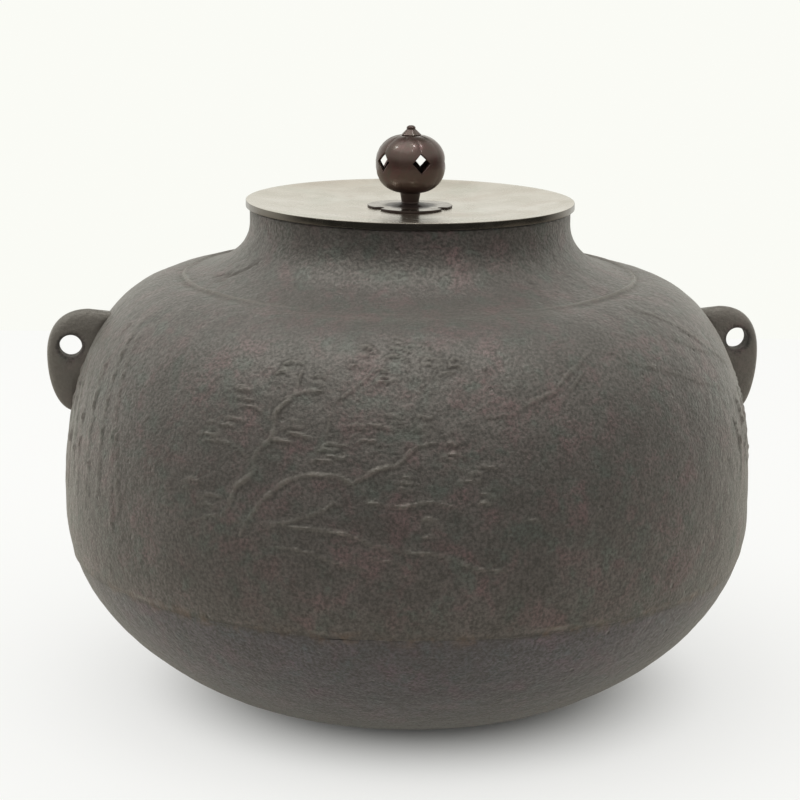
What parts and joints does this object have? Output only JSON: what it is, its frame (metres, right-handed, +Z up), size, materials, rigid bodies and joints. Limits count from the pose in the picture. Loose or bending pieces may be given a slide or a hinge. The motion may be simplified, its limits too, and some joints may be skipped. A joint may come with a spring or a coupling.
{
  "type": "tea kettle",
  "caption": "Round cast iron hearth kettle with a lapped bottom pan, pierced ear lugs and a lift-off dished bronze lid with a pierced ball knob.",
  "frame": {"origin": "middle of the flat base, on the kettle's axis", "axes": "+Z up along the kettle's axis, +X through the right lug's eye, -Y to the front"},
  "size_m": [0.2916, 0.2788, 0.2307],
  "materials": {
    "cast_iron_skin": "dark brown-grey cast skin, matt with a faint sheen",
    "plate_iron": "bare dark iron slips",
    "lid_bronze": "brown patinated bronze, satin",
    "dark_bronze": "dark red-brown patinated bronze, semi-gloss",
    "lacquer": "dark iron-filled lacquer"
  },
  "bodies": {
    "kettle": {"kettle_body": "cast_iron_skin", "kettle_bottom": "cast_iron_skin", "seam_lacquer": "lacquer", "left_lug": "cast_iron_skin", "right_lug": "cast_iron_skin", "singing_plate_1": "plate_iron", "plate_bed_1": "lacquer", "singing_plate_2": "plate_iron", "plate_bed_2": "lacquer", "singing_plate_3": "plate_iron", "plate_bed_3": "lacquer", "singing_plate_4": "plate_iron", "plate_bed_4": "lacquer", "singing_plate_5": "plate_iron", "plate_bed_5": "lacquer"},
    "lid": {"lid_plate": "lid_bronze", "knob_seat": "dark_bronze", "knob_stem": "dark_bronze", "knob_shell": "dark_bronze", "finial_washer": "dark_bronze", "finial_pin": "dark_bronze", "rivet_washer": "lid_bronze"}
  },
  "joints": [
    {"name": "lid_lift", "type": "slide", "parent": "kettle", "child": "lid", "axis": [0, 0, 1], "range_m": [0, 0.15]}
  ]
}
